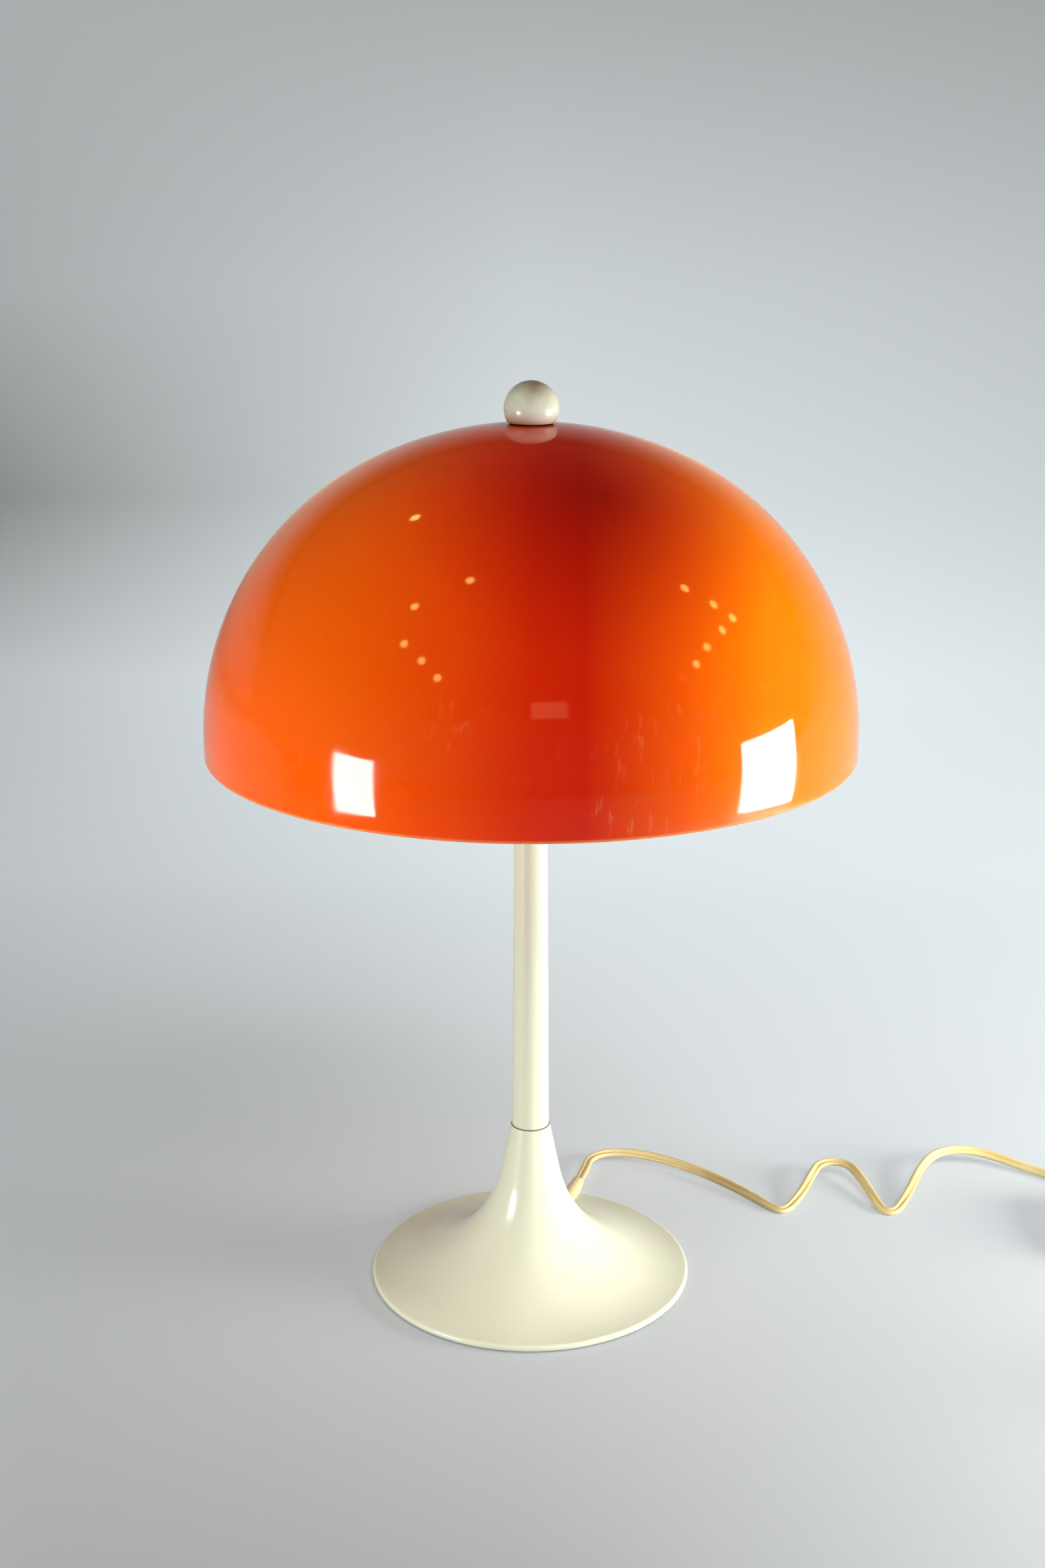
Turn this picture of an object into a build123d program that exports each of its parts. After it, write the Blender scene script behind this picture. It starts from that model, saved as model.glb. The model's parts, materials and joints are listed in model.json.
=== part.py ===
from build123d import *
import os
from math import acos, atan2, cos, degrees, hypot, pi, radians, sin, sqrt, tan

# Mushroom table lamp, in millimetres. +Z is up, the table is z = 0 and the lamp's axis is x = y = 0.
# The viewer stands on the -Y side, with +X to the right.

# Trumpet foot
foot_radius = 78.5
foot_joint_height = 80.0        # the line where the stem sits on the foot
neck_radius = 9.5
foot_wall = 2.2
neck_lean = 11.6                # degrees from upright, where the trumpet's sweep runs into the neck
flange_height = 3.9             # the foot's top face just inside its rim
rim_round = 1.4
rim_edge_round = 0.8
rim_gap = 1.1                   # shadow gap under the rim
rim_land = 3.0                  # from the rim to where the wall's inside starts
neck_collar_depth = 14.0        # solid collar at the top of the neck

# Felt and cast weight
felt_inset = 4.5                # in from the foot's edge
felt_thickness = 1.5
weight_inset = 24.5
weight_height = 32.5
weight_roof = 10.0
weight_recess_radius = 15.0
weight_gap = 0.4

# Threaded rod that clamps everything from the foot to the lampholder
rod_radius = 5.0
rod_bore_radius = 3.7
thread_gap = 0.05
slide_gap = 0.3
rod_below_nut = 1.4
rod_into_holder = 6.0
nut_flats = 14.0
nut_height = 4.0
washer_radius = 12.0
washer_thickness = 1.6
spacer_wall = 1.7

# Stem
stem_length = 164.0
stem_bottom_radius = 9.0
stem_top_radius = 7.8
stem_bore_radius = 6.6
bush_length = 10.0
bush_gap = 0.1
stem_cap_radius = 9.5
stem_cap_thickness = 2.0
stem_cap_spigot = 8.0

# Shade carrier
saddle_thickness = 2.0
saddle_width = 14.0
harp_height = 164.9             # from the saddle up to the carrier disc
leg_spacing = 60.0
leg_radius = 1.6
leg_socket_radius = 3.4
leg_socket_height = 10.0
leg_gap = 0.05
leg_straight = 31.0             # heights of the two lower bends, up from the saddle
leg_belly_start = 66.0
leg_belly_gap = 10.4            # between each leg and the widest part of the bulb
leg_shoulder_gap = 12.7         # between the shoulder bend's point and the bulb
leg_shoulder_angle = 61.7       # from level, seen from the globe's centre
leg_top_drop = 11.5             # the last bend, down from the carrier disc
leg_top_spacing = 20.0
carrier_radius = 16.0
carrier_thickness = 2.2
stud_radius = 3.0
stud_nut_flats = 10.0
stud_nut_height = 4.0
seat_washer_thickness = 1.3
seat_washer_radius = 13.0

# Lampholder for an E27 bulb
holder_cap_height = 22.0
holder_shoulder = 13.0          # height of the cap's taper
holder_floor = 3.0
holder_neck_radius = 14.0
holder_cap_radius = 20.0
holder_wall = 2.0
holder_shell_height = 36.0
holder_shell_radius = 19.5
holder_lip = 2.0                # flare at the shell's mouth
insert_radius = 14.5
insert_gap = 0.5
insert_height = 14.0
insert_below_joint = 8.0        # how far the insert reaches down into the cap
contact_well_radius = 9.0
thread_sleeve_height = 24.0
thread_sleeve_wall = 0.8
terminal_spacing = 16.0
terminal_head_radius = 2.4
terminal_head_height = 1.6
terminal_shank_radius = 1.2
terminal_shank_length = 5.0
terminal_gap = 0.05
contact_width = 5.0
contact_thickness = 0.6
contact_length = 16.0
lead_radius = 0.9
lead_spacing = 2.4              # where the cores leave the flex

# Bulb
cap_thread_radius = 13.0
cap_thread_gap = 0.08
bulb_length = 108.0
bulb_radius = 30.0
bulb_glass_wall = 1.0
bulb_neck_radius = 12.6
bulb_cap_height = 20.0
bulb_cap_wall = 0.4
bulb_insulator_height = 6.0
bulb_insulator_rim = 2.0        # the part of the insulator held inside the cap
bulb_seat = 4.0                 # from the top of the holder's insert down to the bulb's tip
bulb_glass_in_cap = 6.0
bulb_neck_height = 8.0          # straight neck, from the glass's lower end
bulb_contact_radius = 4.0
bulb_contact_height = 1.0

# Shade
shade_radius = 150.0
shade_height = 148.0
shade_wall = 3.0
shade_skirt = 8.0               # straight band above the rim
crown_angle = 25.0              # half the arc over the crown, which two shoulder arcs carry on
crown_flat_margin = 0.1         # how far the flat on the crown runs past the washer on it
seat_flat_margin = 1.4          # and the flat under the crown past its own washer
shade_rim_bevel = 0.6
shade_hole_radius = 3.5

# Ball finial
ball_radius = 12.3
ball_flat_depth = 6.2           # height of the cap that is cut off the ball
finial_washer_radius = 9.8
finial_washer_thickness = 0.7
insert_sleeve_radius = 5.0
insert_sleeve_length = 13.0
insert_sleeve_top = 1.0
insert_press_gap = 0.03
stud_in_ball = 10.5

# Flex, with its width taken as the diameter of its tube
cord_diameter = 5.0
table_gap = 0.1
cord_bend_radius = 12.0         # inside the weight's recess
channel_width = 6.4
exit_angle = 73.0               # from +X, at the back of the foot
gland_radius = 4.0
gland_root_gap = 1.5            # from the weight to the gland's inner end
gland_nose_length = 10.5        # past the foot's edge
gland_tip_radius = 3.2
gland_gap = 0.1
gland_collar_radius = 5.2
gland_collar_length = 1.5
gland_lead = 15.0               # the flex runs straight on so far past the gland

# In-line switch
switch_length = 62.0
switch_width = 26.0
switch_height = 17.0
switch_cord_height = 7.5
switch_corner = 9.0
switch_edge_round = 2.5
switch_x = 302.0
switch_start_y = 65.0           # end face that looks at the lamp
switch_cord_depth = 8.0
cord_hole_gap = 0.1
rocker_length = 16.0
rocker_width = 9.0
rocker_swing = 20.0             # degrees from one position to the other
rocker_rise = 4.2
rocker_dip = 1.2
rocker_pivot_height = 12.6
rocker_belly = 5.0
rocker_gap = 0.3
well_gap = 1.0                  # from the rocker's ends to the walls of the well in the base
window_depth = 7.4              # below the pivot
pin_radius = 1.0
pin_length = 18.0
pin_gap = 0.05
bridge_length = 15.0
bridge_width = 5.0
bridge_thickness = 0.6
bridge_dip = 2.0
switch_screw_radius = 1.4
switch_screw_head = 2.6
switch_screw_head_height = 2.0
switch_screw_recess = 0.5
switch_screw_top = 3.0
switch_screw_x = 8.0
switch_screw_y = 18.0
screw_gap = 0.1

# Plug
plug_y = -76.0                  # where the flex enters the plug
plug_neck_length = 14.0
plug_neck_radius = 3.4
plug_shoulder_radius = 5.0
plug_length = 34.0
plug_grip_length = 20.4         # tapered part of the body
plug_width = 34.0
plug_thickness = 15.0
plug_rear_width = 14.0
plug_cord_depth = 6.0
plug_round = 3.0
plug_pin_radius = 2.0
plug_pin_length = 19.0
plug_pin_spacing = 19.0
plug_pin_root = 8.0
plug_pin_gap = 0.03
plug_pin_round = 1.6

# Put-away coil
coil_start_y = -36.0
coil_radius = 37.4              # outermost half turn
coil_pitch = 5.6
coil_layer_rise = 5.6
coil_half_turns = 7             # in the lower layer, before the one that climbs
tie_thickness = 0.8
tie_width = 7.0
tie_gap = 0.6
tie_floor_gap = 0.05

# Places that follow from the sizes above
felt_top = felt_thickness
weight_top = felt_top + weight_height
recess_top = weight_top - weight_roof
felt_radius = foot_radius - felt_inset
weight_radius = foot_radius - weight_inset
gland_root = weight_radius + gland_root_gap
gland_tip = foot_radius + gland_nose_length
flare_x = foot_radius - rim_round
neck_run = (flare_x - neck_radius) * cos(radians(neck_lean))
neck_rise = (foot_joint_height - flange_height) * sin(radians(neck_lean))
flare_radius = (neck_run - neck_rise) / (1 - sin(radians(neck_lean)))
flare_z = flange_height + flare_radius
cord_radius = cord_diameter / 2
cord_rest = cord_radius + table_gap
cord_inner_height = felt_top + cord_radius + table_gap
rod_bottom = recess_top - washer_thickness - nut_height - rod_below_nut
stem_top = foot_joint_height + stem_length
saddle_bottom = stem_top + stem_cap_thickness
saddle_top = saddle_bottom + saddle_thickness
rod_top = saddle_top + rod_into_holder
holder_joint = saddle_top + holder_cap_height
holder_mouth = holder_joint + holder_shell_height
insert_bottom = holder_joint - insert_below_joint
insert_top = insert_bottom + insert_height
bulb_bottom = insert_top - bulb_seat
bulb_top = bulb_bottom + bulb_length
cap_bottom = bulb_bottom + bulb_contact_height + bulb_insulator_height
bulb_centre = bulb_top - bulb_radius
carrier_bottom = saddle_top + harp_height
carrier_top = carrier_bottom + carrier_thickness
seat_height = carrier_top + seat_washer_thickness
dome_height = shade_height - shade_skirt
crown_across = sin(radians(crown_angle))
crown_up = cos(radians(crown_angle))
dome_scale = crown_across * crown_up - (1 - crown_across) * (1 - crown_up)
crown_radius = (shade_radius * crown_up - dome_height * (1 - crown_across)) / dome_scale
shoulder_radius = (dome_height * crown_across - shade_radius * (1 - crown_up)) / dome_scale
inner_crown = crown_radius - shade_wall
seat_dip = inner_crown - sqrt(inner_crown**2 - (seat_washer_radius + seat_flat_margin)**2)
land_dip = crown_radius - sqrt(crown_radius**2 - (finial_washer_radius + crown_flat_margin)**2)
crown_height = seat_height + seat_dip + shade_wall
land_height = crown_height - land_dip
rim_height = crown_height - shade_height
ball_foot = land_height + finial_washer_thickness
ball_centre = ball_foot + ball_radius - ball_flat_depth
stud_top = ball_foot + stud_in_ball
stud_bottom = carrier_bottom - stud_nut_height
leg_x = leg_spacing / 2
leg_top_x = leg_top_spacing / 2
switch_end_y = switch_start_y - switch_length
switch_mid_y = (switch_start_y + switch_end_y) / 2
coil_height = cord_rest + tie_thickness
upper_height = coil_height + coil_layer_rise
plug_height = plug_thickness / 2 + table_gap
plug_face_y = plug_y - plug_neck_length - plug_length

# The flex across the table, from the gland's tip to the switch
exit_x = cos(radians(exit_angle))
exit_y = sin(radians(exit_angle))
lamp_side_route = [
    (gland_tip * exit_x, gland_tip * exit_y, cord_inner_height),
    ((gland_tip + gland_lead) * exit_x, (gland_tip + gland_lead) * exit_y, cord_inner_height),
    (33.0, 114.0, 4.4),
    (45.0, 121.0, 5.0),
    (66.0, 115.5, 5.6),
    (88.0, 101.5, 5.2),
    (107.0, 84.5, 4.4),
    (121.0, 70.0, 3.2),
    (129.0, 59.0, cord_rest),
    (138.0, 60.0, cord_rest),
    (145.5, 74.0, 4.2),
    (152.5, 89.0, 6.4),
    (159.0, 102.5, 8.0),
    (174.5, 102.0, 8.0),
    (180.0, 84.0, 6.0),
    (183.5, 69.0, 3.8),
    (185.0, 57.0, cord_rest),
    (196.0, 57.5, cord_rest),
    (204.0, 76.5, 4.8),
    (214.0, 99.0, 7.2),
    (225.0, 113.0, 8.6),
    (240.0, 117.5, 8.6),
    (256.0, 113.5, 6.6),
    (271.0, 105.0, 4.4),
    (284.0, 96.0, 2.9),
    (294.5, 88.5, 3.8),
    (switch_x, 73.0, switch_cord_height),
    (switch_x, switch_start_y - switch_cord_depth, switch_cord_height),
]
plug_side_route = [
    (switch_x, switch_end_y + switch_cord_depth, switch_cord_height),
    (switch_x, -2.0, switch_cord_height),
    (switch_x, -17.0, coil_height),
    (switch_x, coil_start_y + cord_diameter, coil_height),
]
plug_x = switch_x + coil_pitch * (coil_half_turns % 2)
tail_route = [
    (plug_x, coil_start_y - cord_diameter, upper_height),
    (plug_x, -57.0, upper_height),
    (plug_x, -70.0, plug_height),
    (plug_x, plug_y - plug_cord_depth, plug_height),
]


def disc(radius, low, high, x=0.0, y=0.0):
    return Pos(x, y, (low + high) / 2) * Cylinder(radius, high - low)


def ring(outer, inner, low, high, x=0.0, y=0.0):
    return disc(outer, low, high, x, y) - disc(inner, low - 1, high + 1, x, y)


def turned(*edges):
    """Spin a closed outline, drawn in the XZ plane, about the lamp's axis."""
    return revolve(make_face(Curve() + list(edges)), Axis.Z)


def chain(*points):
    return Polyline(*[(r, 0, z) for r, z in points])


def arc(centre, radius, start, end):
    """An arc in the XZ plane, by its centre and two angles in degrees."""
    at = [radians(start), radians((start + end) / 2), radians(end)]
    return ThreePointArc(*[(centre[0] + radius * cos(a), 0, centre[1] + radius * sin(a)) for a in at])


def hexagon(flats, bore, low, high):
    blank = extrude(Pos(0, 0, low) * RegularPolygon(flats / 2, 6, major_radius=False), high - low)
    return blank - disc(bore, low - 1, high + 1)


def round_tube(path, radius):
    start = Plane(origin=path @ 0, z_dir=path % 0)
    return sweep(start * Circle(radius), path)


def corner_radii(points):
    """0.45 of the shorter run, over the tangent of half the turn, at every inner point."""
    spots = [Vector(*p) for p in points]
    radii = []
    for before, here, after in zip(spots, spots[1:], spots[2:]):
        turn = (here - before).get_angle(after - here)
        shorter = min((here - before).length, (after - here).length)
        radii.append(0.45 * shorter / tan(radians(turn / 2)))
    return radii


def cord_tube(name, points):
    radii = corner_radii(points)
    path = FilletPolyline(*points, radius=radii)
    tube = round_tube(path, cord_radius)
    print(name, "length", round(path.length, 1), "radii", [round(r, 1) for r in radii])
    print(name, "volume over section times length", round(tube.volume / path.length / pi / cord_radius**2, 4))
    return tube, path.length


def flare_point(radius, angle):
    return (flare_x + radius * cos(radians(angle)), flare_z + radius * sin(radians(angle)))


def along_exit(shape):
    """Turn a shape drawn along +X, at the flex's height, to the way the flex leaves the foot."""
    return Rot(0, 0, exit_angle) * Pos(0, 0, cord_inner_height) * shape


def radial_rod(radius, start, end):
    return along_exit(Pos((start + end) / 2, 0, 0) * Rot(0, 90, 0) * Cylinder(radius, end - start))


def gland_slot():
    """Room for the gland: a round-topped slot, open downwards and past the rim."""
    start = gland_root - gland_gap
    end = gland_tip + 1
    width = 2 * (gland_radius + gland_gap)
    drop = cord_inner_height + 1
    below = along_exit(Pos((start + end) / 2, 0, -drop / 2) * Box(end - start, width, drop))
    collar_end = gland_root + gland_collar_length + gland_gap
    collar = radial_rod(gland_collar_radius + gland_gap, start, collar_end)
    flex = radial_rod(cord_radius + cord_hole_gap, weight_radius - cord_diameter, gland_root)
    return radial_rod(gland_radius + gland_gap, start, end) + below + collar + flex


def foot_shell():
    angle = 180 + neck_lean
    inner = flare_radius + foot_wall
    collar_low = foot_joint_height - neck_collar_depth
    touch = flare_point(flare_radius, angle)
    inner_touch = flare_point(inner, angle)
    inner_top = (inner_touch[0] - (collar_low - inner_touch[1]) * tan(radians(neck_lean)), collar_low)
    land_x = foot_radius - rim_land
    land_angle = 360 - degrees(acos((land_x - flare_x) / inner))
    land = flare_point(inner, land_angle)
    bore = rod_radius + slide_gap
    shell = turned(
        chain((bore, collar_low), (bore, foot_joint_height), (neck_radius, foot_joint_height), touch),
        arc((flare_x, flare_z), flare_radius, angle, 270),
        arc((flare_x, flange_height - rim_round), rim_round, 90, 0),
        chain((foot_radius, flange_height - rim_round), (foot_radius, rim_gap + rim_edge_round)),
        arc((foot_radius - rim_edge_round, rim_gap + rim_edge_round), rim_edge_round, 0, -90),
        chain((foot_radius - rim_edge_round, rim_gap), (land_x, rim_gap), land),
        arc((flare_x, flare_z), inner, land_angle, angle),
        chain(inner_touch, inner_top, (bore, collar_low)),
    )
    return shell - gland_slot()


def foot_weight():
    sweep_radius = flare_radius + foot_wall + weight_gap
    low_angle = 180 + degrees(acos((flare_x - weight_radius) / sweep_radius))
    top_angle = 360 - 90 - degrees(acos((flare_z - weight_top) / sweep_radius))
    low = flare_point(sweep_radius, low_angle)
    top = flare_point(sweep_radius, top_angle)
    bore = rod_radius + slide_gap
    casting = turned(
        chain((bore, weight_top), top),
        arc((flare_x, flare_z), sweep_radius, top_angle, low_angle),
        chain(low, (weight_radius, felt_top), (weight_recess_radius, felt_top),
              (weight_recess_radius, recess_top), (bore, recess_top), (bore, weight_top)),
    )
    depth = cord_radius + channel_width / 2 + table_gap
    reach = weight_radius + 1
    channel = along_exit(Pos(reach / 2, 0, depth / 2 - cord_inner_height + felt_top)
                         * Box(reach, channel_width, depth))
    return casting - channel


def felt_pad():
    return disc(felt_radius, 0, felt_top) - gland_slot()


def cord_gland():
    body = radial_rod(gland_radius, gland_root, foot_radius)
    collar = radial_rod(gland_collar_radius, gland_root, gland_root + gland_collar_length)
    collar -= disc(foot_radius, -foot_radius, felt_top + table_gap)
    nose_length = gland_tip - foot_radius
    nose = Cone(gland_radius, gland_tip_radius, nose_length)
    nose = along_exit(Pos(foot_radius + nose_length / 2, 0, 0) * Rot(0, 90, 0) * nose)
    return body + collar + nose - radial_rod(cord_radius + cord_hole_gap, gland_root - 1, gland_tip + 1)


def cord_inner():
    """The flex from the gland's tip, in along the channel and up the rod to the lampholder."""
    corner_z = cord_inner_height
    path = FilletPolyline(
        (gland_tip * exit_x, gland_tip * exit_y, corner_z), (0, 0, corner_z), (0, 0, rod_top),
        radius=cord_bend_radius)
    print("cord_inner length", round(path.length, 1))
    return round_tube(path, cord_radius)


def threaded_rod():
    return ring(rod_radius, rod_bore_radius, rod_bottom, rod_top)


def rod_washer():
    return ring(washer_radius, rod_radius + slide_gap, recess_top - washer_thickness, recess_top)


def rod_nut():
    top = recess_top - washer_thickness
    return hexagon(nut_flats, rod_radius + thread_gap, top - nut_height, top)


def spacer_tube():
    bore = rod_radius + slide_gap
    return ring(bore + spacer_wall, bore, weight_top, foot_joint_height - neck_collar_depth)


def centering_bush():
    low = foot_joint_height
    return ring(stem_bore_radius - bush_gap, rod_radius + slide_gap, low, low + bush_length)


def stem_tube():
    return turned(chain(
        (stem_bore_radius, foot_joint_height), (stem_bottom_radius, foot_joint_height),
        (stem_top_radius, stem_top), (stem_bore_radius, stem_top), (stem_bore_radius, foot_joint_height)))


def stem_cap():
    top = ring(stem_cap_radius, rod_radius + slide_gap, stem_top, saddle_bottom)
    spigot_low = stem_top - stem_cap_spigot
    spigot = ring(stem_bore_radius - bush_gap, rod_radius + slide_gap, spigot_low, stem_top)
    return top + spigot


def harp_saddle():
    length = leg_spacing + 2 * leg_socket_radius
    strip = Pos(0, 0, saddle_bottom + saddle_thickness / 2) * Box(length, saddle_width, saddle_thickness)
    upright = strip.edges().filter_by(Axis.Z)
    strip = fillet(upright, leg_socket_radius)
    for x in (-leg_x, leg_x):
        strip += disc(leg_socket_radius, saddle_top, saddle_top + leg_socket_height, x)
        strip -= disc(leg_radius + leg_gap, saddle_top, saddle_top + leg_socket_height + 1, x)
    return strip - disc(rod_radius + slide_gap, saddle_bottom - 1, saddle_top + 1)


def harp_leg(side):
    """One wire leg, from its socket out round the bulb and in under the carrier disc."""
    belly = bulb_radius + leg_belly_gap + leg_radius
    shoulder = bulb_radius + leg_shoulder_gap + leg_radius
    angle = radians(leg_shoulder_angle)
    points = [
        (leg_x, saddle_top),
        (leg_x, saddle_top + leg_straight),
        (belly, saddle_top + leg_belly_start),
        (belly, bulb_centre),
        (shoulder * cos(angle), bulb_centre + shoulder * sin(angle)),
        (leg_top_x, carrier_bottom - leg_top_drop),
        (leg_top_x, carrier_bottom),
    ]
    spots = [(side * x, 0, z) for x, z in points]
    return round_tube(FilletPolyline(*spots, radius=corner_radii(spots)), leg_radius)


def carrier_disc():
    return ring(carrier_radius, stud_radius + thread_gap, carrier_bottom, carrier_top)


def shade_stud():
    return disc(stud_radius, stud_bottom, stud_top)


def stud_nut():
    return hexagon(stud_nut_flats, stud_radius + thread_gap, stud_bottom, carrier_bottom)


def seat_washer():
    return ring(seat_washer_radius, stud_radius + thread_gap, carrier_top, seat_height)


def holder_cap():
    low = saddle_top
    shoulder = low + holder_shoulder
    floor = low + holder_floor
    bore = rod_radius + thread_gap
    inner = holder_cap_radius - holder_wall
    return turned(chain(
        (bore, low), (holder_neck_radius, low), (holder_cap_radius, shoulder),
        (holder_cap_radius, holder_joint), (inner, holder_joint), (inner, shoulder),
        (holder_neck_radius - holder_wall, floor), (bore, floor), (bore, low)))


def holder_shell():
    inner = insert_radius + insert_gap
    shell = ring(holder_shell_radius, inner, holder_joint, holder_mouth)
    mouth = Pos(0, 0, holder_mouth - holder_lip / 2) * Cone(inner, inner + holder_lip, holder_lip)
    return shell - mouth


def holder_insert():
    well = disc(contact_well_radius, bulb_bottom - contact_thickness, insert_top + 1)
    body = disc(insert_radius, insert_bottom, insert_top) - well
    for x in (-terminal_spacing / 2, terminal_spacing / 2):
        hole = terminal_shank_radius + terminal_gap
        body -= disc(hole, insert_bottom - 1, insert_bottom + terminal_shank_length, x)
    return body


def holder_thread():
    inner = cap_thread_radius + cap_thread_gap
    return ring(inner + thread_sleeve_wall, inner, insert_top, insert_top + thread_sleeve_height)


def centre_contact():
    top = bulb_bottom
    return Pos(0, 0, top - contact_thickness / 2) * Box(contact_length, contact_width, contact_thickness)


def terminal_screws():
    screws = []
    for x in (-terminal_spacing / 2, terminal_spacing / 2):
        head = disc(terminal_head_radius, insert_bottom - terminal_head_height, insert_bottom, x)
        shank = disc(terminal_shank_radius, insert_bottom, insert_bottom + terminal_shank_length, x)
        screws.append(head + shank)
    return Compound(screws)


def lead_wire(side):
    """One core, from the end of the flex to its terminal screw."""
    start = (side * lead_spacing / 2, 0, rod_top + lead_radius)
    end = (side * terminal_spacing / 2, 0, insert_bottom - terminal_head_height - lead_radius)
    return round_tube(Line(start, end), lead_radius)


def bulb_outline(centre, radius, neck, low):
    """Neck, then a cone that runs into the globe, then the globe over to the axis."""
    shoulder = low + bulb_neck_height
    drop = centre - shoulder
    reach = hypot(neck, drop)
    angle = degrees(atan2(-drop, neck)) + degrees(acos(radius / reach))
    touch = (radius * cos(radians(angle)), centre + radius * sin(radians(angle)))
    return (neck, low), (neck, shoulder), touch, angle


def bulb_glass():
    low = cap_bottom + bulb_cap_height - bulb_glass_in_cap
    inner_radius = bulb_radius - bulb_glass_wall
    inner_neck = bulb_neck_radius - bulb_glass_wall
    start, shoulder, touch, angle = bulb_outline(bulb_centre, bulb_radius, bulb_neck_radius, low)
    inner_start, inner_shoulder, inner_touch, inner_angle = bulb_outline(bulb_centre, inner_radius, inner_neck, low)
    return turned(
        chain(start, shoulder, touch),
        arc((0, bulb_centre), bulb_radius, angle, 90),
        chain((0, bulb_centre + bulb_radius), (0, bulb_centre + inner_radius)),
        arc((0, bulb_centre), inner_radius, 90, inner_angle),
        chain(inner_touch, inner_shoulder, inner_start, start),
    )


def bulb_cap():
    return ring(cap_thread_radius, cap_thread_radius - bulb_cap_wall, cap_bottom, cap_bottom + bulb_cap_height)


def bulb_insulator():
    top_radius = cap_thread_radius - bulb_cap_wall
    cone_low = bulb_bottom + bulb_contact_height
    cone = Pos(0, 0, (cone_low + cap_bottom) / 2) * Cone(bulb_contact_radius, top_radius, bulb_insulator_height)
    return cone + disc(top_radius, cap_bottom, cap_bottom + bulb_insulator_rim)


def bulb_contact():
    return disc(bulb_contact_radius, bulb_bottom, bulb_bottom + bulb_contact_height)


def dome_arcs(offset, flat_height):
    """The crown and shoulder arcs, moved inwards by a wall, and the points at their two ends."""
    crown_centre = (0, crown_height - crown_radius)
    crown = crown_radius - offset
    shoulder_centre = (shade_radius - shoulder_radius, rim_height + shade_skirt)
    shoulder = shoulder_radius - offset
    join = 90 - crown_angle
    start = degrees(acos(sqrt(crown**2 - (flat_height - crown_centre[1])**2) / crown))
    land = (crown * cos(radians(start)), flat_height)
    edge = (shade_radius - offset, shoulder_centre[1])
    arcs = [arc(crown_centre, crown, start, join), arc(shoulder_centre, shoulder, join, 0)]
    return land, edge, arcs


def shade_dome():
    land, edge, outer = dome_arcs(0, land_height)
    seat, inner_edge, inner = dome_arcs(shade_wall, seat_height)
    bevel_top = rim_height + shade_rim_bevel
    return turned(
        chain((shade_hole_radius, land_height), land),
        *outer,
        chain(edge, (edge[0], bevel_top), (edge[0] - shade_rim_bevel, rim_height),
              (inner_edge[0] + shade_rim_bevel, rim_height), (inner_edge[0], bevel_top), inner_edge),
        *inner,
        chain(seat, (shade_hole_radius, seat_height), (shade_hole_radius, land_height)),
    )


def finial_washer():
    return ring(finial_washer_radius, shade_hole_radius, land_height, ball_foot)


def finial_ball():
    ball = Pos(0, 0, ball_centre) * Sphere(ball_radius)
    ball -= disc(ball_radius + 1, ball_foot - ball_radius, ball_foot)
    return ball - disc(insert_sleeve_radius + insert_press_gap, ball_foot - 1, ball_foot + insert_sleeve_length)


def finial_insert():
    top = ball_foot + insert_sleeve_length
    return disc(insert_sleeve_radius, ball_foot, top) \
        - disc(stud_radius + thread_gap, ball_foot - 1, top - insert_sleeve_top)


def switch_block(low, high):
    blank = Rectangle(switch_width, switch_length)
    blank = fillet(blank.vertices(), switch_corner)
    return extrude(Pos(switch_x, switch_mid_y, low) * blank, high - low)


def cord_holes():
    """Both cord entries, as rods along Y."""
    holes = []
    for y in (switch_start_y, switch_end_y):
        rod = Rot(90, 0, 0) * Cylinder(cord_radius + cord_hole_gap, 2 * switch_cord_depth)
        holes.append(Pos(switch_x, y, switch_cord_height) * rod)
    return holes[0] + holes[1]


def screw_spots():
    for side in (-1, 1):
        yield switch_x + side * switch_screw_x, switch_mid_y + side * switch_screw_y


def switch_base():
    base = switch_block(table_gap, switch_cord_height)
    base = fillet(base.faces().sort_by(Axis.Z)[0].edges(), switch_edge_round / 2)
    well_low = rocker_pivot_height - window_depth
    depth = switch_cord_height - well_low + bridge_dip
    base -= Pos(switch_x, switch_mid_y, switch_cord_height - depth / 2 + 0.5) \
        * Box(rocker_width + 2 * rocker_gap, rocker_length + 2 * well_gap, depth + 1)
    for x, y in screw_spots():
        head_top = table_gap + switch_screw_recess + switch_screw_head_height
        base -= disc(switch_screw_head + screw_gap, -1, head_top, x, y)
        base -= disc(switch_screw_radius + screw_gap, 0, switch_height, x, y)
    return base - cord_holes()


def rocker_prism(gap):
    """The rocker's side view, level, swept along X: a shallow V on top of a round belly."""
    half = rocker_length / 2 + gap
    top = rocker_rise + gap
    outline = Polyline((-half, 0), (-half, top), (0, top - rocker_dip), (half, top), (half, 0))
    belly = ThreePointArc((half, 0), (0, -rocker_belly - gap), (-half, 0))
    face = Plane.YZ * make_face(Curve() + [outline, belly])
    return extrude(face, (rocker_width / 2 + gap), both=True)


def switch_cover():
    cover = switch_block(switch_cord_height, switch_height)
    cover = fillet(cover.faces().sort_by(Axis.Z)[-1].edges(), switch_edge_round)
    reach = hypot(rocker_length / 2, rocker_rise) + rocker_gap
    low = rocker_pivot_height - window_depth
    window = Box(rocker_width + 2 * rocker_gap, 2 * reach, switch_height)
    cover -= Pos(switch_x, switch_mid_y, low + switch_height / 2) * window
    pin_hole = Rot(0, 90, 0) * Cylinder(pin_radius + pin_gap, pin_length)
    cover -= Pos(switch_x, switch_mid_y, rocker_pivot_height) * pin_hole
    for x, y in screw_spots():
        cover -= disc(switch_screw_radius + thread_gap, 0, switch_height - switch_screw_top, x, y)
    return cover - cord_holes()


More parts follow.
